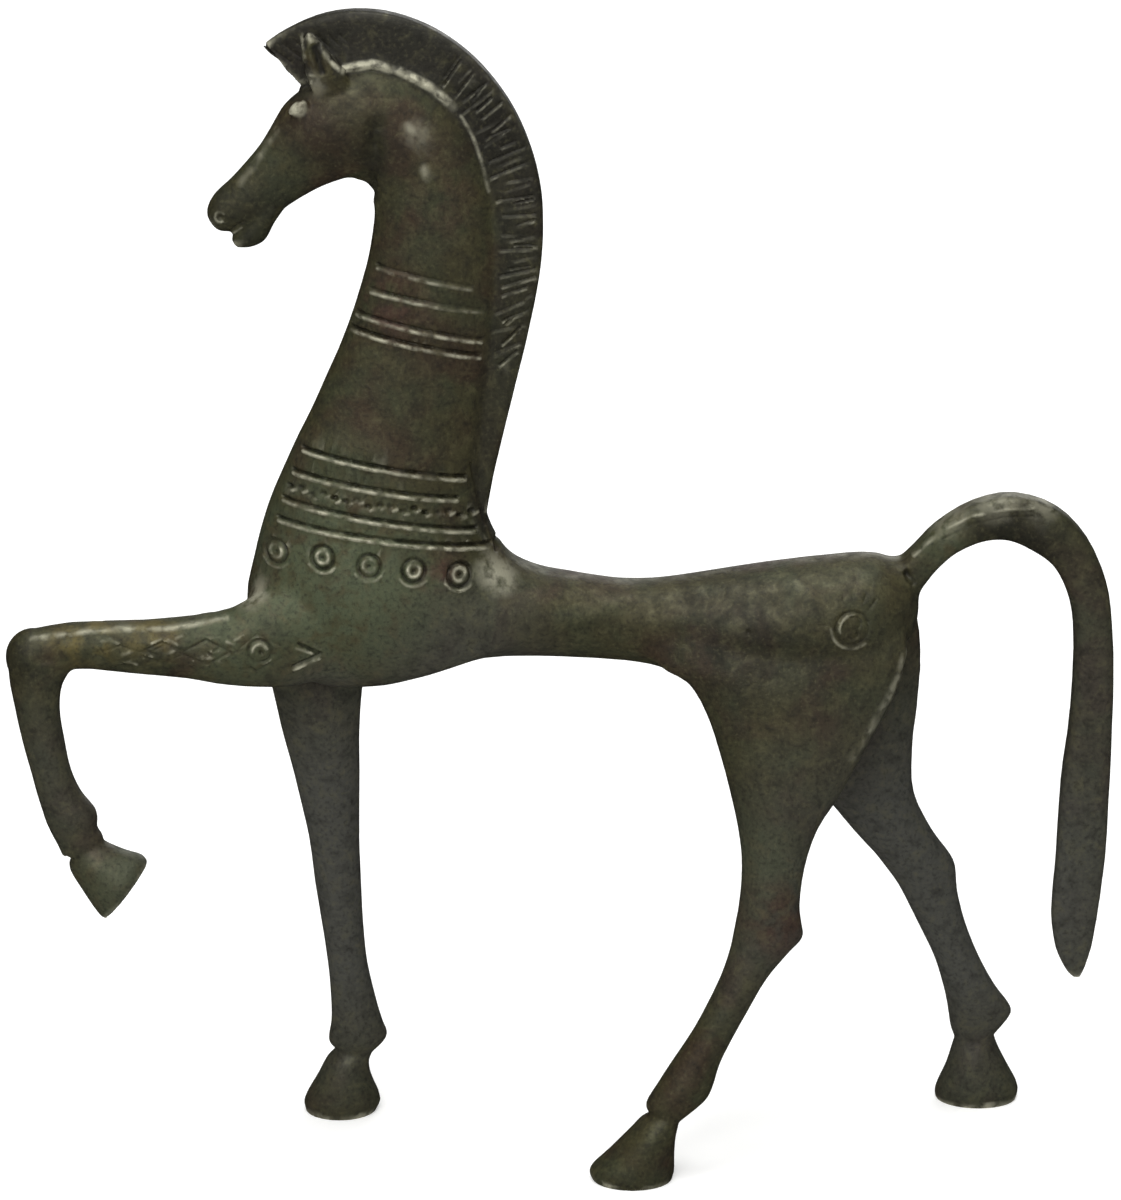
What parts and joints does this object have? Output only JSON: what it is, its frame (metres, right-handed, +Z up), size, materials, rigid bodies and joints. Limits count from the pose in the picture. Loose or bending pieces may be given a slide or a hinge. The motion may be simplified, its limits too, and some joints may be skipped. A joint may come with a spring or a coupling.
{
  "type": "bronze horse figurine",
  "caption": "Cast bronze horse in an archaic Greek manner, pacing with its left foreleg raised, with a crested mane, a looped tail and engraved bands and ring-and-dot marks.",
  "frame": {"origin": "on the ground the hooves stand on, under the middle of the figure's bounding box", "axes": "+Z up; the horse faces -X, so +X is towards its tail; its left side, with the raised foreleg, faces -Y"},
  "size_m": [0.1686, 0.0396, 0.18],
  "materials": {
    "patinated_bronze": "cast bronze with a dark olive-brown patina, green bloom in places, edges rubbed paler"
  },
  "bodies": {
    "root": {"horse": "patinated_bronze"}
  },
  "joints": []
}
